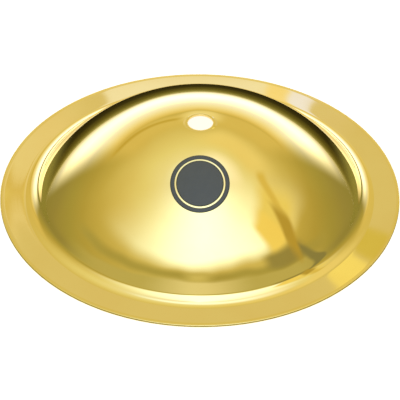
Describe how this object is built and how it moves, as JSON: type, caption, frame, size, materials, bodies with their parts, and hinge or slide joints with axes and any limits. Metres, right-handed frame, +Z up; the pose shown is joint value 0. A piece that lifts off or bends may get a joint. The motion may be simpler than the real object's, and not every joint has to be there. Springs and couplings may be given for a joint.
{
  "type": "bell cymbal",
  "caption": "Deep brass dome with a narrow brim, pierced at the crown to hang on a stand and struck for a bell tone.",
  "frame": {"origin": "on the bell's axis, level with the flat under the rim that it rests on", "axes": "+Z up along the bell's axis, out of the hole in the crown"},
  "size_m": [0.2032, 0.2032, 0.0482],
  "materials": {
    "brass": "polished",
    "print": "matte screen print"
  },
  "bodies": {
    "root": {"bell_shell": "brass"}
  },
  "joints": []
}
